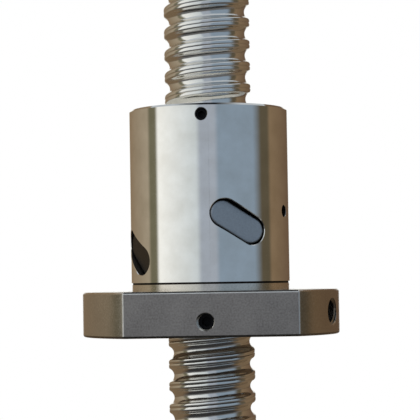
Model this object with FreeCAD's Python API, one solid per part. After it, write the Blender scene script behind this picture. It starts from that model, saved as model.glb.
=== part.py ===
import FreeCAD, Part
import math
import os

# Ball screw: a rolled shaft with one right-hand ball groove, running in a flanged single nut
# whose balls return through four oblong caps set into the nut's wall.
# The origin lies on the screw's axis, in the flange's seating face. +Z runs up through the nut's
# body, -Y faces the viewer and is square to one of the flange's two flats. Lengths are millimetres.

# Ball track
lead = 5.0
ball_diameter = 3.175
ball_circle_radius = 10.3
ball_clearance = 0.0625
groove_height_at_x = 3.45
ball_spacing = 0.02

# Screw
screw_radius = 9.8
travel = 30.0
low_run_out = 5.0
high_run_out = 4.0
thread_end_chamfer = 1.3
shoulder_journal_radius = 7.5
shoulder_journal_length = 25.0
locknut_thread_radius = 7.4
locknut_thread_length = 15.0
thread_relief_width = 2.0
thread_relief_depth = 1.1
drive_journal_radius = 6.0
drive_journal_length = 20.0
support_journal_radius = 7.5
support_journal_length = 12.0
circlip_groove_offset = 9.15
circlip_groove_width = 1.1
circlip_groove_depth = 0.35
journal_chamfer = 0.6
centre_hole_radius = 2.4

# Nut
body_radius = 18.0
body_length = 41.0
land_clearance = 0.9
body_rim_chamfer = 0.45
neck_height = 1.6
neck_depth = 0.2
face_relief_depth = 0.1
flange_radius = 29.0
flange_thickness = 10.0
flange_edge_chamfer = 0.5
flat_distance = 22.0
bolt_circle_radius = 23.5
bolt_hole_radius = 3.3
bolt_spread = 45.0
bolt_hole_chamfer = 0.4

# Lubrication
lube_port_angle = -22.5
lube_port_radius = 2.5
lube_port_depth = 9.0
lube_port_mouth_radius = 3.2
oil_passage_radius = 1.25
oil_passage_rise = 4.2
oil_hole_radius = 1.35
oil_hole_turns = 3.0
oil_hole_drop = 0.6

# Return caps
cap_count = 4
first_circuit_angle = 201.0
circuit_step = 90.0
cap_tilt = 31.0
cap_length = 13.8
cap_width = 6.4
cap_shoulder = 0.6
cap_seat_radius = 14.2
cap_face_distance = 16.6
cap_fit = 0.02
cap_edge_radius = 0.7
crossing_half_angle = 27.0
channel_clearance = 0.15

# Wipers
wiper_thickness = 4.8
lower_wiper_recess = 1.0
upper_wiper_recess = 0.05
wiper_radius = 13.0
wiper_fit = 0.02
wiper_bore_clearance = 0.3
wiper_lip_clearance = 0.3
wiper_mouth_chamfer = 0.5
wiper_dimple_depth = 0.9
dimple_clearance = 0.1

# Wiper set screws
lower_screw_angle = -93.1
lower_screw_radius = 2.0
lower_screw_length = 6.0
lower_screw_hex = 2.0
upper_screw_angle = -95.0
upper_screw_radius = 1.5
upper_screw_length = 4.0
upper_screw_hex = 1.5
set_screw_fit = 0.02
set_screw_point_share = 0.6
set_screw_chamfer = 0.3
set_screw_mouth_chamfer = 0.35

# Sizes that follow from those above
ball_radius = ball_diameter / 2
groove_radius = ball_radius + ball_clearance
bore_radius = screw_radius + land_clearance
thread_low = -flange_thickness - travel - low_run_out
thread_high = body_length + travel + high_run_out
lower_wiper_low = -flange_thickness + lower_wiper_recess
lower_wiper_high = lower_wiper_low + wiper_thickness
upper_wiper_low = body_length - upper_wiper_recess - wiper_thickness
wiper_bore_radius = screw_radius + wiper_bore_clearance
wiper_lip_radius = groove_radius - wiper_lip_clearance
cap_stem_start = screw_radius - lead

# The turned faces start at these angles, clear of the holes and pockets
groove_seam_angle = 77.0
body_seam_angle = -35.0

z_axis = FreeCAD.Vector(0, 0, 1)
x_axis = FreeCAD.Vector(1, 0, 0)
origin = FreeCAD.Vector(0, 0, 0)


def point(x, y, z):
    return FreeCAD.Vector(x, y, z)


def cylinder(radius, low, high):
    return Part.makeCylinder(radius, high - low, point(0, 0, low))


def turned(outline):
    """A solid of revolution from (radius, height) corners that start and end on the axis."""
    corners = [point(radius, 0, height) for radius, height in outline]
    face = Part.Face(Part.makePolygon(corners + corners[:1]))
    return face.revolve(origin, z_axis, 360)


def placed(shape, angle, height):
    """A copy of a shape made along +X, turned about the screw's axis and lifted."""
    moved = shape.copy()
    moved.rotate(origin, z_axis, angle)
    moved.translate(point(0, 0, height))
    return moved


def radial_cylinder(radius, inner, outer):
    return Part.makeCylinder(radius, outer - inner, point(inner, 0, 0), x_axis)


def radial_cone(inner_radius, outer_radius, inner, outer):
    return Part.makeCone(inner_radius, outer_radius, outer - inner, point(inner, 0, 0), x_axis)


def groove_height(angle):
    """Height of the ball groove's centre line at an angle in degrees, counted on through the turns."""
    return groove_height_at_x + lead * angle / 360


def turns_across(low, high):
    """The first and last turn of groove that reach past these heights, at the seam's angle."""
    seam_height = groove_height(groove_seam_angle)
    return math.floor((low - seam_height) / lead) - 1, math.ceil((high - seam_height) / lead) + 1


def groove_bar(radius, side, first_turn, last_turn):
    """The helical bar that a groove of this radius takes away. side is -1 on the screw, 1 in the nut."""
    foot = point(ball_circle_radius, 0, -radius)
    middle = point(ball_circle_radius + side * radius, 0, 0)
    head = point(ball_circle_radius, 0, radius)
    section = Part.Wire([Part.Arc(foot, middle, head).toShape(), Part.makeLine(head, foot)])
    helix = Part.makeHelix(lead, (last_turn - first_turn) * lead, ball_circle_radius)
    bar = Part.Wire(helix.Edges).makePipeShell([section], True, True)
    return placed(bar, groove_seam_angle, groove_height(groove_seam_angle) + lead * first_turn)


def grooved_rod(radius, arc_radius, low, high):
    """A rod cut by one bar for each turn of its groove, first every other turn and then the rest."""
    first, last = turns_across(low, high)
    bars = [groove_bar(arc_radius, -1, turn, turn + 1) for turn in range(first, last)]
    return cylinder(radius, low, high).cut(bars[::2]).cut(bars[1::2])


def thread_envelope():
    """The screw's thread between two chamfered ends."""
    return turned([
        (0, thread_low),
        (screw_radius - thread_end_chamfer, thread_low),
        (screw_radius + thread_end_chamfer, thread_low + 2 * thread_end_chamfer),
        (screw_radius + thread_end_chamfer, thread_high - 2 * thread_end_chamfer),
        (screw_radius - thread_end_chamfer, thread_high),
        (0, thread_high),
    ])


def drive_end():
    """Fixed bearing journal, locknut thread and drive journal below the thread."""
    journal_low = thread_low - shoulder_journal_length
    relief_high = journal_low
    relief_low = relief_high - thread_relief_width
    locknut_low = journal_low - locknut_thread_length
    end = locknut_low - drive_journal_length
    relief_radius = locknut_thread_radius - thread_relief_depth
    return turned([
        (0, thread_low + lead),
        (shoulder_journal_radius, thread_low + lead),
        (shoulder_journal_radius, relief_high),
        (relief_radius, relief_high),
        (relief_radius, relief_low),
        (locknut_thread_radius, relief_low),
        (locknut_thread_radius, locknut_low + journal_chamfer),
        (locknut_thread_radius - journal_chamfer, locknut_low),
        (drive_journal_radius, locknut_low),
        (drive_journal_radius, end + journal_chamfer),
        (drive_journal_radius - journal_chamfer, end),
        (centre_hole_radius, end),
        (0, end + centre_hole_radius * math.sqrt(3)),
    ])


def support_end():
    """Floating bearing journal with its circlip groove above the thread."""
    end = thread_high + support_journal_length
    groove_low = thread_high + circlip_groove_offset
    groove_high = groove_low + circlip_groove_width
    groove_floor = support_journal_radius - circlip_groove_depth
    return turned([
        (0, thread_high - lead),
        (support_journal_radius, thread_high - lead),
        (support_journal_radius, groove_low),
        (groove_floor, groove_low),
        (groove_floor, groove_high),
        (support_journal_radius, groove_high),
        (support_journal_radius, end - journal_chamfer),
        (support_journal_radius - journal_chamfer, end),
        (centre_hole_radius, end),
        (0, end - centre_hole_radius * math.sqrt(3)),
    ])


def screw_shaft():
    thread = grooved_rod(screw_radius, groove_radius, thread_low, thread_high)
    return thread.common(thread_envelope()).fuse([drive_end(), support_end()])


def nut_blank():
    """Flange and body turned in one piece, with an undercut in both faces where they meet."""
    flange_low = -flange_thickness
    neck_radius = body_radius - neck_depth
    relief_radius = body_radius + neck_depth
    blank = turned([
        (0, flange_low),
        (flange_radius - flange_edge_chamfer, flange_low),
        (flange_radius, flange_low + flange_edge_chamfer),
        (flange_radius, -flange_edge_chamfer),
        (flange_radius - flange_edge_chamfer, 0),
        (relief_radius, 0),
        (relief_radius, -face_relief_depth),
        (neck_radius, -face_relief_depth),
        (neck_radius, neck_height),
        (body_radius, neck_height),
        (body_radius, body_length - body_rim_chamfer),
        (body_radius - body_rim_chamfer, body_length),
        (0, body_length),
    ])
    return placed(blank, body_seam_angle, 0)


def flat_cuts():
    """What is milled off the flange at front and back, with its chamfered edges."""
    width = 2 * flange_radius
    low = -flange_thickness
    edge = flange_edge_chamfer
    outline = [
        (flat_distance - edge, low),
        (flat_distance, low + edge),
        (flat_distance, -edge),
        (flat_distance - edge, 0),
        (flange_radius + edge, 0),
        (flange_radius + edge, low),
    ]
    corners = [point(-width / 2, -y, z) for y, z in outline]
    front = Part.Face(Part.makePolygon(corners + corners[:1])).extrude(point(width, 0, 0))
    back = front.copy()
    back.rotate(origin, z_axis, 180)
    return [front, back]


def bolt_angles():
    return [side + step for side in (0, 180) for step in (-bolt_spread, 0, bolt_spread)]


def bolt_hole(angle):
    low = -flange_thickness
    chamfer = bolt_hole_chamfer
    mouth = bolt_hole_radius + 2 * chamfer
    hole = turned([
        (0, low - chamfer),
        (mouth, low - chamfer),
        (bolt_hole_radius, low + chamfer),
        (bolt_hole_radius, -chamfer),
        (mouth, chamfer),
        (0, chamfer),
    ])
    hole.translate(point(bolt_circle_radius, 0, 0))
    return placed(hole, angle, 0)


def bore():
    """The nut's bore with its ball groove and the pockets of both wipers."""
    low = -flange_thickness
    high = body_length
    chamfer = wiper_mouth_chamfer
    mouth = wiper_radius + 2 * chamfer
    core = cylinder(bore_radius, low - 3 * lead, high + 3 * lead)
    core = core.fuse(groove_bar(groove_radius, 1, *turns_across(low, high)))
    lower_pocket = turned([
        (0, low - chamfer),
        (mouth, low - chamfer),
        (wiper_radius, low + chamfer),
        (wiper_radius, lower_wiper_high),
        (0, lower_wiper_high),
    ])
    upper_pocket = turned([
        (0, upper_wiper_low),
        (wiper_radius, upper_wiper_low),
        (wiper_radius, high - chamfer),
        (mouth, high + chamfer),
        (0, high + chamfer),
    ])
    return [core, lower_pocket, upper_pocket]


def oblong(length, width, inner, outer):
    """A bar of oblong section along +X, its long side slanting down towards +Y."""
    half = length / 2 - width / 2
    corner = width / 2
    top = Part.makeLine(point(inner, -half, corner), point(inner, half, corner))
    right = Part.Arc(
        point(inner, half, corner), point(inner, length / 2, 0), point(inner, half, -corner)
    ).toShape()
    bottom = Part.makeLine(point(inner, half, -corner), point(inner, -half, -corner))
    left = Part.Arc(
        point(inner, -half, -corner), point(inner, -length / 2, 0), point(inner, -half, corner)
    ).toShape()
    face = Part.Face(Part.Wire([top, right, bottom, left]))
    bar = face.extrude(point(outer - inner, 0, 0))
    bar.rotate(origin, x_axis, -cap_tilt)
    return bar


def circuit_angle(number):
    """Where circuit number 0, 1, 2 or 3 starts, counted on through the turns."""
    return first_circuit_angle + number * (360 + circuit_step)


def in_circuit(shape, number):
    """Puts a shape made at +X, with its cap's middle at height 0, where this circuit has it.

    A cap stands over the land between the two turns of groove that it joins."""
    angle = circuit_angle(number)
    return placed(shape, angle, groove_height(angle) + lead / 2)


def cap_pocket():
    slot = oblong(cap_length, cap_width, cap_seat_radius, body_radius + lead)
    throat_length = cap_length - 2 * cap_shoulder
    throat_width = cap_width - 2 * cap_shoulder
    return slot.fuse(oblong(throat_length, throat_width, cap_stem_start, cap_seat_radius))


def ball_centre(angle):
    """Centre of a ball in a circuit, with the angle counted from below the cap's middle.

    For most of the turn the ball follows the groove. Near the cap it climbs over the screw's crest,
    always one groove radius from the crest's edge, and drops into the turn below."""
    height = lead * (angle / 360 - 0.5)
    radius = ball_circle_radius
    progress = (angle - 360 + crossing_half_angle) / (2 * crossing_half_angle)
    if 0 < progress < 1:
        shift = lead * (progress - math.sin(2 * math.pi * progress) / (2 * math.pi))
        height -= shift
        edge_height = math.sqrt(groove_radius ** 2 - (ball_circle_radius - screw_radius) ** 2)
        to_edge = max(0, edge_height - min(shift, lead - shift))
        radius = screw_radius + math.sqrt(groove_radius ** 2 - to_edge ** 2)
    elif progress >= 1:
        height -= lead
    turn = math.radians(angle)
    return point(radius * math.cos(turn), radius * math.sin(turn), height)


def return_channel():
    """The curved passage that a cap gives the balls."""
    reach = 2 * crossing_half_angle
    steps = 12
    angles = [360 - reach + 2 * reach * step / steps for step in range(steps + 1)]
    centres = [ball_centre(angle) for angle in angles]
    curve = Part.BSplineCurve()
    curve.interpolate(centres)
    direction = curve.tangent(curve.FirstParameter)[0]
    mouth = Part.makeCircle(ball_radius + channel_clearance, centres[0], direction)
    return Part.Wire([curve.toShape()]).makePipeShell([Part.Wire([mouth])], True, False)


def return_cap():
    """A round-edged head that fills the pocket, and a stem with the channel that ends at the bore."""
    length = cap_length - 2 * cap_fit
    width = cap_width - 2 * cap_fit
    head = oblong(length, width, cap_seat_radius, cap_face_distance)
    rim = [edge for edge in head.Edges if edge.BoundBox.XMin > cap_face_distance - cap_fit]
    head = head.makeFillet(cap_edge_radius, rim)
    stem_length = length - 2 * cap_shoulder
    stem_width = width - 2 * cap_shoulder
    cap = head.fuse(oblong(stem_length, stem_width, cap_stem_start, cap_seat_radius))
    return cap.cut(return_channel()).cut(cylinder(bore_radius, -body_length, body_length))


def ball_circuit():
    """As many balls as a circuit takes, each touching the next but for a small play."""
    pitch = ball_diameter + ball_spacing
    angle = crossing_half_angle
    step = 0.05
    centres = [ball_centre(angle)]
    while angle < 360 + crossing_half_angle:
        angle += step
        centre = ball_centre(angle)
        beside_last = centre.distanceToPoint(centres[-1]) >= pitch
        beside_first = angle < 180 or centre.distanceToPoint(centres[0]) >= pitch
        if beside_last and beside_first:
            centres.append(centre)
    return Part.makeCompound([Part.makeSphere(ball_radius, centre) for centre in centres])


def set_screw_tip():
    """Set screws reach this close to the axis, into the wiper's dimple."""
    return wiper_radius - wiper_dimple_depth + dimple_clearance


def set_screw_hole(radius, mouth_distance):
    hole_radius = radius + set_screw_fit
    chamfer = set_screw_mouth_chamfer
    inner = mouth_distance - chamfer
    outer = mouth_distance + chamfer
    hole = radial_cylinder(hole_radius, wiper_radius - wiper_dimple_depth, outer)
    return hole.fuse(radial_cone(hole_radius, hole_radius + 2 * chamfer, inner, outer))


def set_screw(radius, length, across_flats):
    """A headless screw with a hexagon socket and a turned-down point."""
    tip = set_screw_tip()
    point_radius = radius * set_screw_point_share
    outline = [
        (0, tip),
        (point_radius, tip),
        (point_radius, wiper_radius),
        (radius, wiper_radius + radius - point_radius),
        (radius, tip + length - set_screw_chamfer),
        (radius - set_screw_chamfer, tip + length),
        (0, tip + length),
    ]
    screw = turned(outline)
    corner = across_flats / math.sqrt(3)
    turn = math.radians(60)
    corners = [
        point(corner * math.cos(side * turn), corner * math.sin(side * turn), tip + length / 2)
        for side in range(6)
    ]
    socket = Part.Face(Part.makePolygon(corners + corners[:1])).extrude(point(0, 0, length))
    screw = screw.cut(socket)
    screw.rotate(origin, FreeCAD.Vector(0, 1, 0), 90)
    return screw


def lower_screw_height():
    return lower_wiper_low + wiper_thickness / 2


def upper_screw_height():
    return upper_wiper_low + wiper_thickness / 2


def wiper(low, screw_angle, screw_height, set_screw_radius):
    """A ring that fills its pocket and has a lip running in the screw's groove."""
    high = low + wiper_thickness
    ring = cylinder(wiper_radius - wiper_fit, low, high)
    ring = ring.cut(grooved_rod(wiper_bore_radius, wiper_lip_radius, low - lead, high + lead))
    dimple_radius = set_screw_radius * set_screw_point_share + dimple_clearance
    dimple = radial_cylinder(dimple_radius, wiper_radius - wiper_dimple_depth, body_radius)
    return ring.cut(placed(dimple, screw_angle, screw_height))


def lube_cuts():
    """Tapped port in the flange's side with a drilled passage up to the bore, and the oil hole."""
    floor = flange_radius - lube_port_depth
    mouth_depth = lube_port_mouth_radius - lube_port_radius
    tapped = radial_cylinder(lube_port_radius, floor, flange_radius + mouth_depth)
    mouth = radial_cone(
        lube_port_radius, lube_port_mouth_radius + mouth_depth,
        flange_radius - mouth_depth, flange_radius + mouth_depth
    )
    start = point(floor + oil_passage_radius, 0, 0)
    end = point(ball_circle_radius, 0, oil_passage_rise)
    passage = Part.makeCylinder(oil_passage_radius, (end - start).Length, start, end - start)
    port = placed(tapped.fuse([mouth, passage]), lube_port_angle, -flange_thickness / 2)
    oil_hole = radial_cylinder(oil_hole_radius, ball_circle_radius, body_radius + lead)
    height = groove_height(lube_port_angle + 360 * oil_hole_turns) - oil_hole_drop
    return [port, placed(oil_hole, lube_port_angle, height)]


def nut_body():
    nut = nut_blank().cut(flat_cuts())
    nut = nut.cut([bolt_hole(angle) for angle in bolt_angles()])
    nut = nut.cut(bore())
    pocket = cap_pocket()
    nut = nut.cut([in_circuit(pocket, number) for number in range(cap_count)])
    lower_hole = set_screw_hole(lower_screw_radius, flat_distance)
    upper_hole = set_screw_hole(upper_screw_radius, body_radius)
    nut = nut.cut([
        placed(lower_hole, lower_screw_angle, lower_screw_height()),
        placed(upper_hole, upper_screw_angle, upper_screw_height()),
    ])
    return nut.cut(lube_cuts())


def save(name, shape):
    if len(shape.Solids) == 1:
        shape = shape.Solids[0]
    shape.exportStep("parts/" + name + ".step")


def main():
    os.makedirs("parts", exist_ok=True)
    save("screw_shaft", screw_shaft())
    save("nut_body", nut_body())
    cap = return_cap()
    balls = ball_circuit()
    for number in range(cap_count):
        save("return_cap_" + str(number + 1), in_circuit(cap, number))
        save("ball_circuit_" + str(number + 1), in_circuit(balls, number))
    save("lower_wiper", wiper(
        lower_wiper_low, lower_screw_angle, lower_screw_height(), lower_screw_radius
    ))
    save("upper_wiper", wiper(
        upper_wiper_low, upper_screw_angle, upper_screw_height(), upper_screw_radius
    ))
    lower_screw = set_screw(lower_screw_radius, lower_screw_length, lower_screw_hex)
    upper_screw = set_screw(upper_screw_radius, upper_screw_length, upper_screw_hex)
    save("lower_wiper_screw", placed(lower_screw, lower_screw_angle, lower_screw_height()))
    save("upper_wiper_screw", placed(upper_screw, upper_screw_angle, upper_screw_height()))


main()
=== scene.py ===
from collections import namedtuple
import math
import bmesh
import bpy
from mathutils import Matrix, Vector

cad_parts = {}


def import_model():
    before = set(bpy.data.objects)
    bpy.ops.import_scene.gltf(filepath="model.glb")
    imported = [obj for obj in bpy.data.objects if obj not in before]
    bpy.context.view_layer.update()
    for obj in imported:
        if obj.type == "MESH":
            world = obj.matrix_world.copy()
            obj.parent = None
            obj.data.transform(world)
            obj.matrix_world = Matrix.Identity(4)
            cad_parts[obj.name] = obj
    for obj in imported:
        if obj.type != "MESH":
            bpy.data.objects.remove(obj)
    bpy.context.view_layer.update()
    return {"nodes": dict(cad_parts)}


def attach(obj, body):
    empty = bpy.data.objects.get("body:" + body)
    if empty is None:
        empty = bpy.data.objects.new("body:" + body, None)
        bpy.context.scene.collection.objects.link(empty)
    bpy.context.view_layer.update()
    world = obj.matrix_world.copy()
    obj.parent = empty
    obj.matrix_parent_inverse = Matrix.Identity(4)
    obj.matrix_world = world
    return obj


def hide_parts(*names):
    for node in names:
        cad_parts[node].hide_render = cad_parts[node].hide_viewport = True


# A ball screw standing upright, seen from the height of its flange.
# Sizes are in millimetres and become Blender's metres in mm() and spot(). Angles are in degrees.
# The origin lies on the screw's axis in the flange's seating face, and -Y faces the camera.

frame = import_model()

# Ball groove
lead = 5.0
ball_circle_radius = 10.3
groove_radius = 1.65
groove_height_at_x = 3.45
turn_steps = 96
groove_steps = 16
crest_edge_steps = 4

# Screw
screw_radius = 9.8
crest_edge_radius = 0.6
crest_seam_depth = 0.1
crest_seam_width = 0.4
thread_low = -45.0
thread_high = 75.0
thread_end_chamfer = 1.3
journal_chamfer = 0.6
centre_hole_radius = 2.4

# Drive end, from the thread downwards
bearing_journal_radius = 7.5
bearing_journal_low = -70.0
relief_radius = 6.3
relief_low = -72.0
locknut_radius = 7.4
locknut_root_radius = 6.8
locknut_pitch = 1.0
locknut_low = -85.0
drive_journal_radius = 6.0
drive_end = -105.0

# Support end, from the thread upwards
circlip_groove_low = 84.15
circlip_groove_high = 85.25
circlip_groove_radius = 7.15
support_end = 87.0

# Nut
body_radius = 18.0
body_high = 41.0
rim_chamfer = 0.45
flange_radius = 29.0
flange_low = -10.0
flat_distance = 22.0
flange_chamfer = 0.4
flange_lower_edge = 0.5
worn_edge = 0.12
bore_radius = 10.7
wiper_seat_radius = 13.0
lower_seat_high = -4.2
upper_seat_low = 36.15
seat_chamfer = 0.5
neck_radius = 17.8
undercut_radius = 17.65
undercut_low = 1.5
undercut_high = 1.95
nut_steps = 192

# Return caps, in the order in which they climb
cap_count = 4
first_cap_angle = 201.0
cap_angle_step = 90.0
cap_tilt = 31.0
cap_length = 13.8
cap_width = 6.4
cap_shoulder = 0.6
cap_seat_radius = 14.2
pocket_edge = 0.14
pocket_steps = 64

# A radial hole: where it lies, how far its mouth and its inner end are from the screw's axis, the
# drilled radius and the mouth's chamfer. A tapped hole also has its thread's radius and pitch, the
# place where the thread ends, and the plain radius that follows there down to the floor.
Hole = namedtuple("Hole", "angle height surface floor drilled chamfer major pitch thread_end below")
lube_port = Hole(-22.5, -5.0, 29.0, 20.0, 2.5, 0.55, 3.0, 1.0, 21.0, 2.45)
lower_screw_hole = Hole(-93.1, -6.6, 22.0, 12.1, 1.74, 0.25, 2.0, 0.7, 18.3, 2.02)
upper_screw_hole = Hole(-95.0, 38.55, 18.0, 12.1, 1.32, 0.12, 1.5, 0.5, 16.3, 1.52)
oil_hole = Hole(-22.5, 17.54, 18.0, 11.0, 1.35, 0.08, None, None, None, None)
holes = (lube_port, lower_screw_hole, upper_screw_hole, oil_hole)
hole_steps = 48

bolt_circle_radius = 23.5
bolt_hole_radius = 3.3
bolt_hole_chamfer = 0.4
bolt_angles = (-45.0, 0.0, 45.0, 135.0, 180.0, 225.0)
# Each is also turned a little on its own axis, which keeps its corners off the flange's edges
bolt_hole_turn = 3.0

# How far a cutting tool reaches past what it cuts
clear = 1.0
# Places this near each other count as the same
near = 0.01
# How far under the nut's outside a face still counts as part of it, as one of the flange's worn
# edges, as part of its round side or its bottom, and as one of its broken edges
skin = 0.1
worn_zone = 0.2
side_zone = 0.3
edge_zone = 0.7
# Corners this near each other are joined: those of a new shape, and those that a cut leaves
weld = 0.001
cut_weld = 0.0005


def mm(value):
    """Millimetres to Blender's metres."""
    return value / 1000


def spot(x, y, z):
    """A place given in millimetres."""
    return Vector((x, y, z)) / 1000


def groove_height(angle):
    return groove_height_at_x + lead * angle / 360


def about_axis(angle, height=0.0):
    """Turns something made along +X about the screw's axis, and lifts it."""
    return Matrix.Translation(spot(0, 0, height)) @ Matrix.Rotation(math.radians(angle), 4, "Z")


def arc(centre_radius, centre_height, radius, start, end, steps):
    """Outline points (radius, height) round a centre. 0 degrees is away from the axis, 90 is up."""
    points = []
    for step in range(steps + 1):
        angle = math.radians(start + (end - start) * step / steps)
        points.append((
            centre_radius + radius * math.cos(angle),
            centre_height + radius * math.sin(angle),
        ))
    return points


# Materials

def colour(hex_text):
    """sRGB hex to the linear colour that Blender's sockets take."""
    channels = [int(hex_text[i:i + 2], 16) / 255 for i in (0, 2, 4)]
    linear = [c / 12.92 if c <= 0.04045 else ((c + 0.055) / 1.055) ** 2.4 for c in channels]
    return (*linear, 1.0)


# A Mix node names its sockets alike for each kind of value. These are those of its colours.
mix_first, mix_second, mix_result = 6, 7, 2


def per(size):
    """The texture scale at which one feature of a pattern is this many millimetres."""
    return 1000 / size


def add(tree, kind, settings=None, links=None, stops=None):
    """Adds a node. Settings are its attributes or its inputs' values, links feed its inputs from
    other nodes' outputs, and stops are the places and colours of a colour ramp."""
    node = tree.nodes.new(kind)
    for key, value in (settings or {}).items():
        if isinstance(key, str) and hasattr(node, key):
            setattr(node, key, value)
        else:
            node.inputs[key].default_value = value
    for key, output in (links or {}).items():
        tree.links.new(output, node.inputs[key])
    if stops:
        for _ in stops[2:]:
            node.color_ramp.elements.new(1.0)
        for element, (place, shade) in zip(node.color_ramp.elements, stops):
            element.position = place
            element.color = shade
    return node


def new_material(name):
    material = bpy.data.materials.new(name)
    material.use_nodes = True
    tree = material.node_tree
    tree.nodes.clear()
    return material, tree


def ground_steel(name, smoothest, roughest):
    """Ground bearing steel: rings of fine wheel marks drag reflections out along the axis."""
    material, tree = new_material(name)
    place = add(tree, "ShaderNodeTexCoord")
    # Wheel marks run round the body, about a quarter of a millimetre wide and 70 mm long
    along_rings = add(
        tree, "ShaderNodeMapping", {"Scale": (per(70), per(70), per(0.26))},
        {"Vector": place.outputs["Object"]},
    )
    rings = add(
        tree, "ShaderNodeTexNoise", {"Scale": 1.0, "Detail": 3.0, "Roughness": 0.6},
        {"Vector": along_rings.outputs["Vector"]},
    )
    # Faint clouds of oil film, 4.5 mm across
    clouds = add(
        tree, "ShaderNodeTexNoise", {"Scale": per(4.5), "Detail": 4.0},
        {"Vector": place.outputs["Object"]},
    )
    shade = add(
        tree, "ShaderNodeValToRGB", links={"Fac": clouds.outputs["Fac"]},
        stops=[(0.3, colour("d9d7d2")), (0.7, colour("e6e5e2"))],
    )
    rough = add(
        tree, "ShaderNodeMapRange", {"To Min": smoothest, "To Max": roughest},
        {"Value": rings.outputs["Fac"]},
    )
    bump = add(
        tree, "ShaderNodeBump", {"Strength": 0.12, "Distance": mm(0.02)},
        {"Height": rings.outputs["Fac"]},
    )
    shader = add(
        tree, "ShaderNodeBsdfPrincipled", {"Metallic": 1.0},
        {"Base Color": shade.outputs["Color"], "Roughness": rough.outputs["Result"],
         "Normal": bump.outputs["Normal"]},
    )
    add(tree, "ShaderNodeOutputMaterial", links={"Surface": shader.outputs["BSDF"]})
    return material


def scaled_steel(name, dark, middle, pale, roughest):
    """Hardened steel that keeps its heat scale: dull, warm grey and finely speckled."""
    material, tree = new_material(name)
    place = add(tree, "ShaderNodeTexCoord")
    # Speckle of 0.4 mm, where scale flaked off, over patches of 6 mm
    speckle = add(
        tree, "ShaderNodeTexNoise", {"Scale": per(0.4), "Detail": 2.0, "Roughness": 0.5},
        {"Vector": place.outputs["Object"]},
    )
    patches = add(
        tree, "ShaderNodeTexNoise", {"Scale": per(6), "Detail": 2.0},
        {"Vector": place.outputs["Object"]},
    )
    both = add(
        tree, "ShaderNodeMath", {"operation": "MULTIPLY_ADD", 1: 0.5},
        {0: patches.outputs["Fac"], 2: speckle.outputs["Fac"]},
    )
    shade = add(
        tree, "ShaderNodeValToRGB", links={"Fac": both.outputs["Value"]},
        stops=[(0.5, colour(dark)), (0.75, colour(middle)), (1.0, colour(pale))],
    )
    rough = add(
        tree, "ShaderNodeMapRange", {"To Min": roughest - 0.14, "To Max": roughest},
        {"Value": speckle.outputs["Fac"]},
    )
    bump = add(
        tree, "ShaderNodeBump", {"Strength": 0.2, "Distance": mm(0.02)},
        {"Height": speckle.outputs["Fac"]},
    )
    shader = add(
        tree, "ShaderNodeBsdfPrincipled", {"Metallic": 1.0},
        {"Base Color": shade.outputs["Color"], "Roughness": rough.outputs["Result"],
         "Normal": bump.outputs["Normal"]},
    )
    add(tree, "ShaderNodeOutputMaterial", links={"Surface": shader.outputs["BSDF"]})
    return material


def rolled_steel():
    """Thread-rolled and polished bearing steel: a mirror with soft ripples along the groove."""
    material, tree = new_material("thread-rolled polished bearing steel")
    place = add(tree, "ShaderNodeTexCoord")
    # The rolls leave ripples about 5 mm long round the screw and 1.6 mm wide
    along_groove = add(
        tree, "ShaderNodeMapping", {"Scale": (per(5), per(5), per(1.6))},
        {"Vector": place.outputs["Object"]},
    )
    ripple = add(
        tree, "ShaderNodeTexNoise", {"Scale": 1.0, "Detail": 1.5, "Roughness": 0.5},
        {"Vector": along_groove.outputs["Vector"]},
    )
    rough = add(
        tree, "ShaderNodeMapRange", {"To Min": 0.1, "To Max": 0.18},
        {"Value": ripple.outputs["Fac"]},
    )
    bump = add(
        tree, "ShaderNodeBump", {"Strength": 0.7, "Distance": mm(0.1)},
        {"Height": ripple.outputs["Fac"]},
    )
    shader = add(
        tree, "ShaderNodeBsdfPrincipled", {"Metallic": 1.0, "Base Color": colour("dcdbd8")},
        {"Roughness": rough.outputs["Result"], "Normal": bump.outputs["Normal"]},
    )
    add(tree, "ShaderNodeOutputMaterial", links={"Surface": shader.outputs["BSDF"]})
    return material


def grained(name, dark, pale, metallic, roughness, grain, strength, corner_shade=None):
    """A material with a fine even grain of that many millimetres, in its colour and its surface.
    Corner shade is how far from corners ambient occlusion darkens its colour: painted shade."""
    material, tree = new_material(name)
    place = add(tree, "ShaderNodeTexCoord")
    noise = add(
        tree, "ShaderNodeTexNoise", {"Scale": per(grain), "Detail": 3.0, "Roughness": 0.6},
        {"Vector": place.outputs["Object"]},
    )
    shade = add(
        tree, "ShaderNodeValToRGB", links={"Fac": noise.outputs["Fac"]},
        stops=[(0.3, colour(dark)), (0.7, colour(pale))],
    )
    tint = shade.outputs["Color"]
    # Painted shade: ambient occlusion darkens the colour towards corners
    if corner_shade:
        corners = add(
            tree, "ShaderNodeAmbientOcclusion", {"samples": 8, "Distance": mm(corner_shade)},
            {"Color": tint},
        )
        open_share = add(
            tree, "ShaderNodeMapRange", {"From Min": 0.3, "From Max": 0.85},
            {"Value": corners.outputs["AO"]},
        )
        corner_shaded = add(
            tree, "ShaderNodeMix", {"data_type": "RGBA", mix_first: colour("26282b")},
            {"Factor": open_share.outputs["Result"], mix_second: tint},
        )
        tint = corner_shaded.outputs[mix_result]
    bump = add(
        tree, "ShaderNodeBump", {"Strength": strength, "Distance": mm(0.04)},
        {"Height": noise.outputs["Fac"]},
    )
    shader = add(
        tree, "ShaderNodeBsdfPrincipled", {"Metallic": metallic, "Roughness": roughness},
        {"Base Color": tint, "Normal": bump.outputs["Normal"]},
    )
    add(tree, "ShaderNodeOutputMaterial", links={"Surface": shader.outputs["BSDF"]})
    return material


# The nut's body is ground to a mirror, and the screw's ends less finely
ground = ground_steel("cylindrically ground bearing steel", 0.06, 0.1)
seat_steel = ground_steel("ground bearing seats", 0.26, 0.36)
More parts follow.
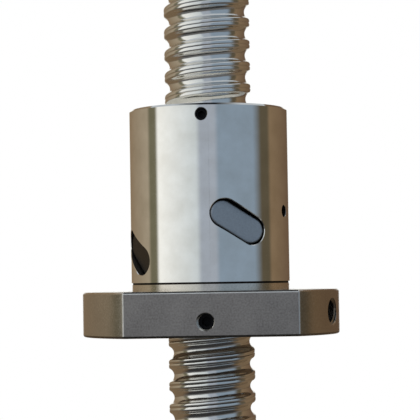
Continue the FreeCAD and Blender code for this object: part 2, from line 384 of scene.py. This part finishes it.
# The flats keep most of the dark scale, the rim shows more bare steel through it, and the neck, the
# end faces and the flange's upper chamfer were turned bare
scale = scaled_steel("milled steel with heat scale", "8c8580", "9f9892", "aea69f", 0.5)
rim_scale = scaled_steel("turned steel with thin heat scale", "a8a29a", "b0aaa2", "bbb5ad", 0.3)
turned = scaled_steel("turned steel without scale", "c6c0b6", "d0cac0", "d9d3ca", 0.26)
# Drilling leaves the holes grey. The pockets' walls and the flange's lower edge are painted darker,
# for the shade that falls there
drilled = grained("drilled and tapped steel", "a8a39b", "b8b3ab", 1.0, 0.25, 0.5, 0.1)
shaded_milled = grained("milled steel painted dark for shade", "6a6763", "7c7873", 1.0, 0.3, 0.5, 0.2)
# The undercut is painted near-black, for the shade in it
shaded_undercut = grained("undercut painted black for shade", "24211f", "2e2b28", 1.0, 0.5, 0.5, 0.2)
# Handling has worn the edges of the flats bright, and their brighter colour also paints in the
# highlight line along them
worn_and_highlit = grained("bare steel edge worn and painted bright as a highlight", "d2cfca", "dedbd6", 1.0, 0.45, 1.5, 0.1)
rolled = rolled_steel()
# Sintered steel is dull grey-blue with the powder's grain, drawn at 0.4 mm so that it shows
# Its colour darkens within 2.2 mm of corners, such as the pockets' walls: painted shade
sintered = grained("sintered steel", "a9adb2", "b6bbc0", 1.0, 0.42, 0.4, 0.25, 2.2)
# The insert on the camera's left is painted nearly black, for the shade it lies in
shaded_sintered = grained(
    "sintered steel painted dark for shade", "35322d", "423e38", 1.0, 0.5, 0.4, 0.25, 2.2
)
# Moulded polyamide is creamy white and slightly waxy
polyamide = grained("moulded polyamide", "d8d5ca", "e2dfd5", 0.0, 0.42, 0.6, 0.1)
# Black oxide is a thin near-black skin on steel that still shines a little
black_oxide = grained("black-oxide alloy steel", "1f1e20", "29282a", 1.0, 0.45, 0.3, 0.1)
# Bearing balls are lapped to a mirror, with a few faint rolling marks
lapped = grained("lapped bearing steel", "d8d8d9", "e2e2e3", 1.0, 0.06, 2.0, 0.02)


# Shapes

def lathe(bm, outline, steps, closed=True):
    """Spins a (radius, height) outline in millimetres about the axis and joins its seam."""
    verts = [bm.verts.new(spot(radius, 0, height)) for radius, height in outline]
    pairs = list(zip(verts, verts[1:]))
    if closed:
        pairs.append((verts[-1], verts[0]))
    edges = [bm.edges.new(pair) for pair in pairs]
    bmesh.ops.spin(
        bm, geom=verts + edges, cent=(0, 0, 0), axis=(0, 0, 1), dvec=(0, 0, 0),
        angle=2 * math.pi, steps=steps, use_merge=True, use_duplicate=False,
    )
    bmesh.ops.remove_doubles(bm, verts=bm.verts, dist=mm(weld))


def threaded_rod(outline, pitch, offset, low, high, steps):
    """A rod along Z whose outline, one pitch high, winds up it, cut off square at both ends."""
    spare_turns = 2
    first = math.floor((low - offset) / pitch) - spare_turns
    last = math.ceil((high - offset) / pitch) + spare_turns
    bm = bmesh.new()
    verts = [
        bm.verts.new(spot(radius, 0, height + offset + pitch * turn))
        for turn in range(first, last) for radius, height in outline
    ]
    edges = [bm.edges.new(pair) for pair in zip(verts, verts[1:])]
    bmesh.ops.spin(
        bm, geom=verts + edges, cent=(0, 0, 0), axis=(0, 0, 1), dvec=spot(0, 0, pitch / steps),
        angle=2 * math.pi, steps=steps, use_merge=False, use_duplicate=False,
    )
    bmesh.ops.remove_doubles(bm, verts=bm.verts, dist=mm(weld))
    for height, keep_above in ((low, True), (high, False)):
        cut = bmesh.ops.bisect_plane(
            bm, geom=bm.verts[:] + bm.edges[:] + bm.faces[:], dist=mm(cut_weld),
            plane_co=spot(0, 0, height), plane_no=(0, 0, 1),
            clear_inner=keep_above, clear_outer=not keep_above,
        )
        rim = [item for item in cut["geom_cut"] if isinstance(item, bmesh.types.BMEdge)]
        bmesh.ops.edgeloop_fill(bm, edges=[edge for edge in rim if edge.is_boundary])
    return bm


def sharp_thread(major, root, pitch, low, high, steps):
    """A rod with a 60 degree thread between two radii."""
    flank = (major - root) * math.tan(math.radians(30))
    crest = pitch / 8
    foot = (pitch - crest) / 2 - flank
    outline = [(root, -foot), (root, foot), (major, foot + flank), (major, foot + flank + crest)]
    return threaded_rod(outline, pitch, 0, low, high, steps)


def outwards(bm):
    bmesh.ops.recalc_face_normals(bm, faces=bm.faces)


def copy_into(bm, extra, placing=None):
    """Adds one bmesh to another, put in place by a matrix, and frees it."""
    outwards(extra)
    if placing:
        bmesh.ops.transform(extra, matrix=placing, verts=extra.verts)
    shape = bpy.data.meshes.new("shape")
    extra.to_mesh(shape)
    extra.free()
    bm.from_mesh(shape)
    bpy.data.meshes.remove(shape)


def piece(name, bm, materials, body=None, slot_name=None, *replaced):
    """Makes an object of a bmesh. With a body, it rides on that and stands for CAD nodes."""
    mesh = bpy.data.meshes.new(name)
    bm.to_mesh(mesh)
    bm.free()
    made = bpy.data.objects.new(name, mesh)
    bpy.context.scene.collection.objects.link(made)
    for material in materials:
        mesh.materials.append(material)
    if body:
        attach(made, body)
        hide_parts(*replaced)
    return made


def combine(target, bm, operation):
    """Joins a bmesh to a piece, or cuts it away, and leaves the result in the piece's mesh."""
    outwards(bm)
    tool = piece("tool", bm, target.data.materials)
    modifier = target.modifiers.new("combine", "BOOLEAN")
    modifier.operation = operation
    modifier.solver = "EXACT"
    modifier.object = tool
    bpy.context.view_layer.update()
    evaluated = target.evaluated_get(bpy.context.evaluated_depsgraph_get())
    mesh = bpy.data.meshes.new_from_object(evaluated)
    target.modifiers.clear()
    old = target.data
    target.data = mesh
    bpy.data.meshes.remove(old)
    bpy.data.objects.remove(tool)
    welded = bmesh.new()
    welded.from_mesh(mesh)
    bmesh.ops.remove_doubles(welded, verts=welded.verts, dist=mm(cut_weld))
    welded.to_mesh(mesh)
    welded.free()


def smooth_by_angle(mesh, degrees):
    mesh.shade_smooth()
    mesh.set_sharp_from_angle(angle=math.radians(degrees))


# Screw

def screw_outline():
    """One pitch of the screw, from one crest's seam to the next, with the groove at height 0."""
    edge = crest_edge_radius
    rise = ball_circle_radius - screw_radius + edge
    reach = math.sqrt((groove_radius + edge) ** 2 - rise ** 2)
    lean = math.degrees(math.atan2(reach, rise))
    half = lead / 2
    seam = crest_seam_width / 2
    groove = arc(ball_circle_radius, 0, groove_radius, 180 + lean, 180 - lean, groove_steps)
    lower_edge = arc(screw_radius - edge, -reach, edge, 0, lean, crest_edge_steps)
    upper_edge = arc(screw_radius - edge, reach, edge, -lean, 0, crest_edge_steps)
    start = [(screw_radius - crest_seam_depth, -half), (screw_radius, seam - half)]
    return start + lower_edge + groove[1:-1] + upper_edge + [(screw_radius, half - seam)]


def chamfer_thread(bm):
    """Pulls the thread's two ends in to 45 degree chamfers."""
    for vert in bm.verts:
        to_end = min(vert.co.z - mm(thread_low), mm(thread_high) - vert.co.z)
        limit = mm(screw_radius - thread_end_chamfer) + max(to_end, 0)
        radius = math.hypot(vert.co.x, vert.co.y)
        if radius > limit:
            vert.co.x *= limit / radius
            vert.co.y *= limit / radius


def screw_ends():
    """The machined ends, each of which starts inside the thread and has a 60 degree centre hole."""
    cone = centre_hole_radius * math.sqrt(3)
    inside = lead
    ends = bmesh.new()
    lathe(ends, [
        (0, thread_low + inside),
        (bearing_journal_radius, thread_low + inside),
        (bearing_journal_radius, bearing_journal_low),
        (relief_radius, bearing_journal_low),
        (relief_radius, relief_low),
        (locknut_root_radius - clear / 2, relief_low),
        (locknut_root_radius - clear / 2, locknut_low),
        (drive_journal_radius, locknut_low),
        (drive_journal_radius, drive_end + journal_chamfer),
        (drive_journal_radius - journal_chamfer, drive_end),
        (centre_hole_radius, drive_end),
        (0, drive_end + cone),
    ], turn_steps, closed=False)
    lathe(ends, [
        (0, thread_high - inside),
        (bearing_journal_radius, thread_high - inside),
        (bearing_journal_radius, circlip_groove_low),
        (circlip_groove_radius, circlip_groove_low),
        (circlip_groove_radius, circlip_groove_high),
        (bearing_journal_radius, circlip_groove_high),
        (bearing_journal_radius, support_end - journal_chamfer),
        (bearing_journal_radius - journal_chamfer, support_end),
        (centre_hole_radius, support_end),
        (0, support_end - cone),
    ], turn_steps, closed=False)
    return ends


def screw():
    bm = threaded_rod(
        screw_outline(), lead, groove_height_at_x, thread_low, thread_high, turn_steps
    )
    chamfer_thread(bm)
    outwards(bm)
    finishes = [rolled, seat_steel]
    made = piece("rolled_screw", bm, finishes, "screw", "screw_steel", "screw_shaft")
    combine(made, screw_ends(), "UNION")
    combine(made, sharp_thread(
        locknut_radius, locknut_root_radius, locknut_pitch, locknut_low, relief_low, turn_steps // 2
    ), "UNION")
    for polygon in made.data.polygons:
        on_thread = mm(thread_low) < polygon.center.z < mm(thread_high)
        polygon.material_index = finishes.index(rolled if on_thread else seat_steel)
    # The groove's steps are smoothed, and the chamfers stay crisp
    smooth_by_angle(made.data, 35)


# Nut

def nut_blank():
    """Flange and body turned in one piece, then milled to two flats. The bore is cut later."""
    core_radius = screw_radius - clear
    bm = bmesh.new()
    lathe(bm, [
        (wiper_seat_radius + seat_chamfer, flange_low), (flange_radius, flange_low),
        (flange_radius, 0), (neck_radius, 0), (neck_radius, undercut_low),
        (undercut_radius, undercut_low), (undercut_radius, undercut_high),
        (body_radius, undercut_high), (body_radius, body_high - rim_chamfer),
        (body_radius - rim_chamfer, body_high), (wiper_seat_radius + seat_chamfer, body_high),
        (wiper_seat_radius, body_high - seat_chamfer), (wiper_seat_radius, upper_seat_low),
        (core_radius, upper_seat_low), (core_radius, lower_seat_high),
        (wiper_seat_radius, lower_seat_high), (wiper_seat_radius, flange_low + seat_chamfer),
    ], nut_steps)
    for side in (-1, 1):
        cut = bmesh.ops.bisect_plane(
            bm, geom=bm.verts[:] + bm.edges[:] + bm.faces[:], dist=mm(cut_weld),
            plane_co=spot(0, side * flat_distance, 0), plane_no=(0, side, 0), clear_outer=True,
        )
        rim = [item for item in cut["geom_cut"] if isinstance(item, bmesh.types.BMEdge)]
        bmesh.ops.edgeloop_fill(bm, edges=rim)
    outwards(bm)
    return bm


def break_flange_edges(bm):
    """Bevels the flange's outer edges: the upright ones, which have no height here, the upper ones
    and the edge that their chamfer leaves, and the lower ones."""
    sharp = math.radians(25)
    for place, width, segments in (
        (None, worn_edge, 1), (0, flange_chamfer, 1), (-flange_chamfer, worn_edge, 1),
        (flange_low, flange_lower_edge, 3),
    ):
        edges = []
        for edge in bm.edges:
            low, high = sorted(vert.co.z for vert in edge.verts)
            middle = (edge.verts[0].co + edge.verts[1].co) / 2
            if place is None:
                chosen = high - low > mm(clear)
            else:
                chosen = high - low < mm(near) and abs(low - mm(place)) < mm(near)
            outer = math.hypot(middle.x, middle.y) > mm(flat_distance - skin)
            if chosen and outer and edge.calc_face_angle(0) > sharp:
                edges.append(edge)
        bmesh.ops.bevel(
            bm, geom=edges, affect="EDGES", offset=mm(width), offset_type="OFFSET",
            segments=segments, profile=0.5, material=-1,
        )


def grooved_bore():
    """The nut's bore with the ball groove standing out of it, as a cutter."""
    rise = bore_radius - ball_circle_radius
    lean = math.degrees(math.acos(rise / groove_radius))
    outline = arc(ball_circle_radius, 0, groove_radius, -lean, lean, groove_steps)
    low = lower_seat_high - clear
    high = upper_seat_low + clear
    return threaded_rod(outline, lead, groove_height_at_x, low, high, turn_steps)


# Lays something made along Z along +X
lay_along_x = Matrix.Rotation(math.radians(90), 4, "Y")


def plug(*outline):
    """A turned cutter between the two ends of its outline, which lie on its axis."""
    tool = bmesh.new()
    lathe(tool, [(0, outline[0][1]), *outline, (0, outline[-1][1])], hole_steps, closed=False)
    return tool


def drilling(hole):
    """A radial hole without its chamfer, as a cutter: a plain one, or the tapped part of it."""
    outer = hole.surface + clear
    if hole.pitch:
        overlap = 0.3
        inner = hole.thread_end - overlap
        return sharp_thread(hole.major, hole.drilled, hole.pitch, inner, outer, hole_steps)
    return plug((hole.drilled, hole.floor), (hole.drilled, outer))


def mouth(hole):
    """The 45 degree cone at a hole's mouth, as a cutter."""
    start = hole.surface - hole.chamfer
    return plug(
        (hole.drilled - clear / 2, start - clear / 2),
        (hole.drilled + hole.chamfer + clear, hole.surface + clear),
    )


def bolt_hole():
    mouth_radius = bolt_hole_radius + bolt_hole_chamfer + clear
    return plug(
        (mouth_radius, flange_low - clear), (bolt_hole_radius, flange_low + bolt_hole_chamfer),
        (bolt_hole_radius, -bolt_hole_chamfer), (mouth_radius, clear),
    )


def oblong(number, shoulder, inner, outer):
    """A slanting oblong bar at one return cap's place, narrower all round by the shoulder."""
    angle = first_cap_angle + number * (360 + cap_angle_step)
    half = (cap_length - cap_width) / 2
    tool = bmesh.new()
    outline = bmesh.ops.create_circle(
        tool, cap_ends=True, radius=mm(cap_width / 2 - shoulder), segments=pocket_steps
    )
    for vert in outline["verts"]:
        vert.co.x += math.copysign(mm(half), vert.co.x)
    raised = bmesh.ops.extrude_face_region(tool, geom=tool.faces[:])
    top = [item for item in raised["geom"] if isinstance(item, bmesh.types.BMVert)]
    bmesh.ops.translate(tool, verts=top, vec=spot(0, 0, outer - inner))
    tilt = Matrix.Rotation(math.radians(-cap_tilt), 4, "X")
    lay_radially = Matrix(((0, 0, 1), (1, 0, 0), (0, 1, 0))).to_4x4()
    outward = Matrix.Translation(spot(inner, 0, 0))
    place = about_axis(angle, groove_height(angle) + lead / 2)
    bmesh.ops.transform(tool, matrix=place @ outward @ tilt @ lay_radially, verts=tool.verts)
    return tool


def in_hole(hole):
    return about_axis(hole.angle, hole.height) @ lay_along_x


def pockets_and_drillings():
    """What is milled, drilled and tapped into the nut from outside."""
    bm = bmesh.new()
    for number in range(cap_count):
        copy_into(bm, oblong(number, 0, cap_seat_radius, body_radius + 2 * clear))
    for hole in holes:
        copy_into(bm, drilling(hole), in_hole(hole))
    out = Matrix.Translation(spot(bolt_circle_radius, 0, 0)) @ about_axis(bolt_hole_turn)
    for angle in bolt_angles:
        copy_into(bm, bolt_hole(), about_axis(angle) @ out)
    return bm


def throats_and_mouths():
    """The passages from the caps' pockets to the bore, and both ends of the radial holes."""
    bm = bmesh.new()
    for number in range(cap_count):
        copy_into(bm, oblong(number, cap_shoulder, screw_radius, cap_seat_radius + clear / 2))
    for hole in holes:
        copy_into(bm, mouth(hole), in_hole(hole))
        if hole.pitch:
            inner_end = plug((hole.below, hole.floor), (hole.below, hole.thread_end))
            copy_into(bm, inner_end, in_hole(hole))
    return bm


def around_pocket(edge):
    """Whether an edge lies where a return cap's pocket breaks through the ground body: on the
    body's surface, sharp, and clear of its ends and of the round holes."""
    for vert in edge.verts:
        if math.hypot(vert.co.x, vert.co.y) < mm(body_radius - near):
            return False
        if not mm(undercut_high + clear) < vert.co.z < mm(body_high - clear):
            return False
        for hole in (upper_screw_hole, oil_hole):
            middle = in_hole(hole) @ spot(0, 0, hole.surface)
            if (vert.co - middle).length < mm(2 * hole.drilled):
                return False
    return edge.calc_face_angle(0) > math.radians(30)


def break_pocket_edges(mesh):
    bm = bmesh.new()
    bm.from_mesh(mesh)
    bmesh.ops.bevel(
        bm, geom=[edge for edge in bm.edges if around_pocket(edge)], affect="EDGES",
        offset=mm(pocket_edge), offset_type="OFFSET", segments=1, profile=0.5, material=-1,
    )
    bm.to_mesh(mesh)
    bm.free()


def nut_finish(polygon):
    """Which finish a face of the nut has, by its place in millimetres."""
    x, y, height = polygon.center * 1000
    radius = math.hypot(x, y)
    if near < height < undercut_high - near and radius > undercut_radius - skin:
        # The undercut's near-black finish is painted shade
        return turned if height < undercut_low - near else shaded_undercut
    if height > -2 * near:
        if height < near or height > body_high - near:
            return turned
        outside = radius > body_radius - skin or height > body_high - rim_chamfer
        # Walls inside the body's pockets and holes get the darker milled steel: painted shade
        return ground if outside or radius < wiper_seat_radius else shaded_milled
    to_round = flange_radius - radius
    to_flat = flat_distance - abs(y)
    # Broken edges slope up at the flange's top, and down at its bottom, but not straight down
    if min(to_round, to_flat) < edge_zone:
        if polygon.normal.z > 0.5:
            return turned
        # Down-sloping edges get the darker milled steel: painted shade under the flange
        if -0.97 < polygon.normal.z < -0.2:
            return shaded_milled
    if to_round < side_zone and to_flat > worn_zone:
        return rim_scale
    if near < to_flat < worn_zone:
        # Worn bare steel, also brightened as a painted highlight along the edges
        return worn_and_highlit
    on_bottom = height < flange_low + side_zone
    return scale if to_flat < near or on_bottom else drilled


def round_body_normals(mesh):
    """Gives the ground body's facets the true cylinder's normals, also round the holes' rims."""
    # The flange's rounded edges turn by 15 degrees and more at each step, and stay crisp
    smooth_by_angle(mesh, 12)
    normals = [tuple(corner.vector) for corner in mesh.corner_normals]
    for polygon in mesh.polygons:
        radii = [math.hypot(*mesh.vertices[i].co.xy) for i in polygon.vertices]
        if max(abs(radius - mm(body_radius)) for radius in radii) < mm(2 * near):
            for loop in polygon.loop_indices:
                place = mesh.vertices[mesh.loops[loop].vertex_index].co
                normals[loop] = tuple(Vector((place.x, place.y, 0)).normalized())
    mesh.normals_split_custom_set(normals)


def nut():
    bm = nut_blank()
    break_flange_edges(bm)
    finishes = [ground, scale, rim_scale, shaded_milled, drilled, worn_and_highlit, turned, shaded_undercut]
    made = piece("nut_shell", bm, finishes, "nut", "nut_steel", "nut_body")
    for tool in (grooved_bore(), pockets_and_drillings(), throats_and_mouths()):
        combine(made, tool, "DIFFERENCE")
    break_pocket_edges(made.data)
    for polygon in made.data.polygons:
        polygon.material_index = finishes.index(nut_finish(polygon))
    round_body_normals(made.data)


screw()
nut()

for node_name, material in (
    ("lower_wiper", polyamide), ("upper_wiper", polyamide),
    ("lower_wiper_screw", black_oxide), ("upper_wiper_screw", black_oxide),
    # This cap gets the copy of sintered steel painted dark for shade
    ("return_cap_1", shaded_sintered),
    *((f"return_cap_{number}", sintered) for number in range(2, cap_count + 1)),
    *((f"ball_circuit_{number}", lapped) for number in range(1, cap_count + 1)),
):
    node_mesh = frame["nodes"][node_name].data
    node_mesh.materials.clear()
    node_mesh.materials.append(material)


# Stage: a floor, a tent of soft light round the part, lamps, world and camera

# The floor lies just under the screw's foot in the rest pose
table_height = -105.2
tent_radius = 700.0
tent_low = -500.0
tent_high = 700.0


def banded(name, shades, levels=((tent_low, 1.0), (tent_high, 1.0)), strength=1.0):
    """A glow in bands that fan out round the axis, dimmed by height. The shades' angles count from
    the camera's side towards +X."""
    material, tree = new_material(name)
    place = add(tree, "ShaderNodeTexCoord")
    axes = add(tree, "ShaderNodeSeparateXYZ", links={"Vector": place.outputs["Object"]})
    to_camera = add(
        tree, "ShaderNodeMath", {"operation": "MULTIPLY", 1: -1.0}, {0: axes.outputs["Y"]}
    )
    turn = add(
        tree, "ShaderNodeMath", {"operation": "ARCTAN2"},
        {0: axes.outputs["X"], 1: to_camera.outputs["Value"]},
    )
    share = add(
        tree, "ShaderNodeMapRange", {"From Min": -math.pi, "From Max": math.pi},
        {"Value": turn.outputs["Value"]},
    )
    bands = add(
        tree, "ShaderNodeValToRGB", links={"Fac": share.outputs["Result"]},
        stops=[((angle + 180) / 360, colour(shade)) for angle, shade in shades],
    )
    height = add(
        tree, "ShaderNodeMapRange", {"From Min": mm(tent_low), "From Max": mm(tent_high)},
        {"Value": axes.outputs["Z"]},
    )
    fade = add(
        tree, "ShaderNodeValToRGB", links={"Fac": height.outputs["Result"]},
        stops=[
            ((level - tent_low) / (tent_high - tent_low), (light, light, light, 1))
            for level, light in levels
        ],
    )
    mixed = add(
        tree, "ShaderNodeMix", {"data_type": "RGBA", "blend_type": "MULTIPLY", "Factor": 1.0},
        {mix_first: bands.outputs["Color"], mix_second: fade.outputs["Color"]},
    )
    glow = add(
        tree, "ShaderNodeEmission", {"Strength": strength}, {"Color": mixed.outputs[mix_result]}
    )
    add(tree, "ShaderNodeOutputMaterial", links={"Surface": glow.outputs["Emission"]})
    return material


def roof_glow():
    """A soft glow that is dark straight above the part, so that what faces up stays grey."""
    material, tree = new_material("tent roof")
    place = add(tree, "ShaderNodeTexCoord")
    flat = add(
        tree, "ShaderNodeVectorMath", {"operation": "MULTIPLY", 1: (1, 1, 0)},
        {0: place.outputs["Object"]},
    )
    reach = add(
        tree, "ShaderNodeVectorMath", {"operation": "LENGTH"}, {0: flat.outputs["Vector"]}
    )
    share = add(
        tree, "ShaderNodeMapRange", {"From Min": mm(110), "From Max": mm(420)},
        {"Value": reach.outputs["Value"]},
    )
    shade = add(
        tree, "ShaderNodeValToRGB", links={"Fac": share.outputs["Result"]},
        stops=[(0.0, colour("23262a")), (1.0, colour("c3cad1"))],
    )
    glow = add(
        tree, "ShaderNodeEmission", {"Strength": 1.1}, {"Color": shade.outputs["Color"]}
    )
    add(tree, "ShaderNodeOutputMaterial", links={"Surface": glow.outputs["Emission"]})
    return material


def reflected_only(made):
    """Keeps a stage piece out of the picture, so that only the steel sees it."""
    made.visible_camera = False
    made.visible_shadow = False
    made.visible_transmission = False


def disc(name, radius, height, material, steps=64):
    """A flat round stage piece."""
    bm = bmesh.new()
    bmesh.ops.create_circle(bm, cap_ends=True, radius=mm(radius), segments=steps)
    bmesh.ops.translate(bm, verts=bm.verts, vec=spot(0, 0, height))
    return piece(name, bm, [material])


def tent():
    """The light tent's wall and roof, and the bench that the part stands on, darkest near it. The
    wall has a white soft box on the camera's left, which fades towards the camera, a grey and a
    blue panel, a brown panel on either side, posts between them and a white strip at the back."""
    white, pale, grey, blue = "f4f4f0", "c8d0d4", "a0a8b4", "8494a4"
    tan, brown, umber = "a09480", "806c54", "604c3c"
    olive_post, dark_post = "6c6854", "585040"
    panels = [
        (-180, -168, white, white), (-162, -98, brown, tan), (-93, -82, olive_post, olive_post),
        (-77, -18, white, pale), (-12, 8, grey, grey), (14, 66, blue, blue),
        (80, 93, dark_post, dark_post), (99, 162, brown, umber), (168, 180, white, white),
    ]
    edges = [
        edge for start, end, first, last in panels for edge in ((start, first), (end, last))
    ]
    # Full light down to 50 mm below the flange's seat, and a third or less from 120 mm down
    wall_light = banded("light tent", edges, [(-200, 0.2), (-120, 0.3), (-50, 1.0)], 1.25)
    bm = bmesh.new()
    lathe(bm, [(tent_radius, tent_low), (tent_radius, tent_high)], 96, closed=False)
    outwards(bm)
    reflected_only(piece("light_tent", bm, [wall_light]))
    reflected_only(disc("tent_roof", 1200, 900, roof_glow()))
    for name, radius, above_floor, front in (
        ("dark_bench", 230, 0.2, "383838"), ("bench_rim", 690, 0.1, "707070")
    ):
        bench_light = banded(name, [
            (-180, brown), (-105, brown), (-75, front), (75, front), (105, brown), (180, brown),
        ])
        reflected_only(disc(name, radius, table_height + above_floor, bench_light))


def floor():
    """A pale disc that turns wholly white towards its rim, so that it ends without an edge."""
    material, tree = new_material("pale studio floor")
    rays = add(tree, "ShaderNodeLightPath")
    place = add(tree, "ShaderNodeTexCoord")
    flat = add(
        tree, "ShaderNodeVectorMath", {"operation": "MULTIPLY", 1: (1, 1, 0)},
        {0: place.outputs["Object"]},
    )
    reach = add(
        tree, "ShaderNodeVectorMath", {"operation": "LENGTH"}, {0: flat.outputs["Vector"]}
    )
    white_share = add(
        tree, "ShaderNodeMapRange",
        {"From Min": mm(100), "From Max": mm(500), "To Min": 0.55, "To Max": 1.0},
        {"Value": reach.outputs["Value"]},
    )
    matte = add(tree, "ShaderNodeBsdfDiffuse", {"Color": colour("eeeeec")})
    white = add(tree, "ShaderNodeEmission", {"Color": (1, 1, 1, 1), "Strength": 1.0})
    seen = add(
        tree, "ShaderNodeMath", {"operation": "MAXIMUM"},
        {0: rays.outputs["Is Camera Ray"], 1: rays.outputs["Is Glossy Ray"]},
    )
    share = add(
        tree, "ShaderNodeMath", {"operation": "MULTIPLY"},
        {0: seen.outputs["Value"], 1: white_share.outputs["Result"]},
    )
    mixed = add(
        tree, "ShaderNodeMixShader", links={
            0: share.outputs["Value"], 1: matte.outputs["BSDF"], 2: white.outputs["Emission"]
        },
    )
    add(tree, "ShaderNodeOutputMaterial", links={"Surface": mixed.outputs["Shader"]})
    disc("floor", 600, table_height, material, 96)


def world():
    made = bpy.data.worlds.new("white studio")
    made.use_nodes = True
    tree = made.node_tree
    tree.nodes.clear()
    rays = add(tree, "ShaderNodeLightPath")
    direct = add(
        tree, "ShaderNodeMath", {"operation": "MAXIMUM"},
        {0: rays.outputs["Is Camera Ray"], 1: rays.outputs["Is Glossy Ray"]},
    )
    seen = add(
        tree, "ShaderNodeMath", {"operation": "MAXIMUM"},
        {0: direct.outputs["Value"], 1: rays.outputs["Is Transmission Ray"]},
    )
    strength = add(
        tree, "ShaderNodeMapRange", {"To Min": 0.6, "To Max": 1.0},
        {"Value": seen.outputs["Value"]},
    )
    background = add(
        tree, "ShaderNodeBackground", {"Color": (1, 1, 1, 1)},
        {"Strength": strength.outputs["Result"]},
    )
    add(tree, "ShaderNodeOutputWorld", links={"Surface": background.outputs["Background"]})
    bpy.context.scene.world = made


def lamp(name, place, size, power):
    """A soft round lamp aimed at the part. Polished steel shows the tent instead of the lamps."""
    light = bpy.data.lights.new(name, "AREA")
    light.shape = "DISK"
    light.size = mm(size)
    light.energy = power
    made = bpy.data.objects.new(name, light)
    made.location = place
    made.rotation_euler = (-place).to_track_quat("-Z", "Y").to_euler()
    made.visible_glossy = False
    bpy.context.scene.collection.objects.link(made)


def camera():
    """The photograph's view: a long lens near the flange's height, aimed a little upwards."""
    distance = 389.0
    height = 1.8
    side = 0.1
    aim_up = 2.43
    roll = -0.92
    focal_pixels = 1711.0
    frame_pixels = 420.0
    data = bpy.data.cameras.new("camera")
    data.sensor_width = 36.0
    data.lens = data.sensor_width * focal_pixels / frame_pixels
    data.clip_start = 0.01
    made = bpy.data.objects.new("camera", data)
    made.matrix_world = (
        Matrix.Translation(spot(side, -distance, height))
        @ Matrix.Rotation(math.radians(90 + aim_up), 4, "X")
        @ Matrix.Rotation(math.radians(roll), 4, "Z")
    )
    bpy.context.scene.collection.objects.link(made)
    bpy.context.scene.camera = made


tent()
floor()
world()
lamp("key_lamp", spot(-500, -450, 550), 350, 4.0)
lamp("fill_lamp", spot(500, -500, 300), 400, 1.5)
camera()
bpy.context.scene.view_settings.view_transform = "Standard"
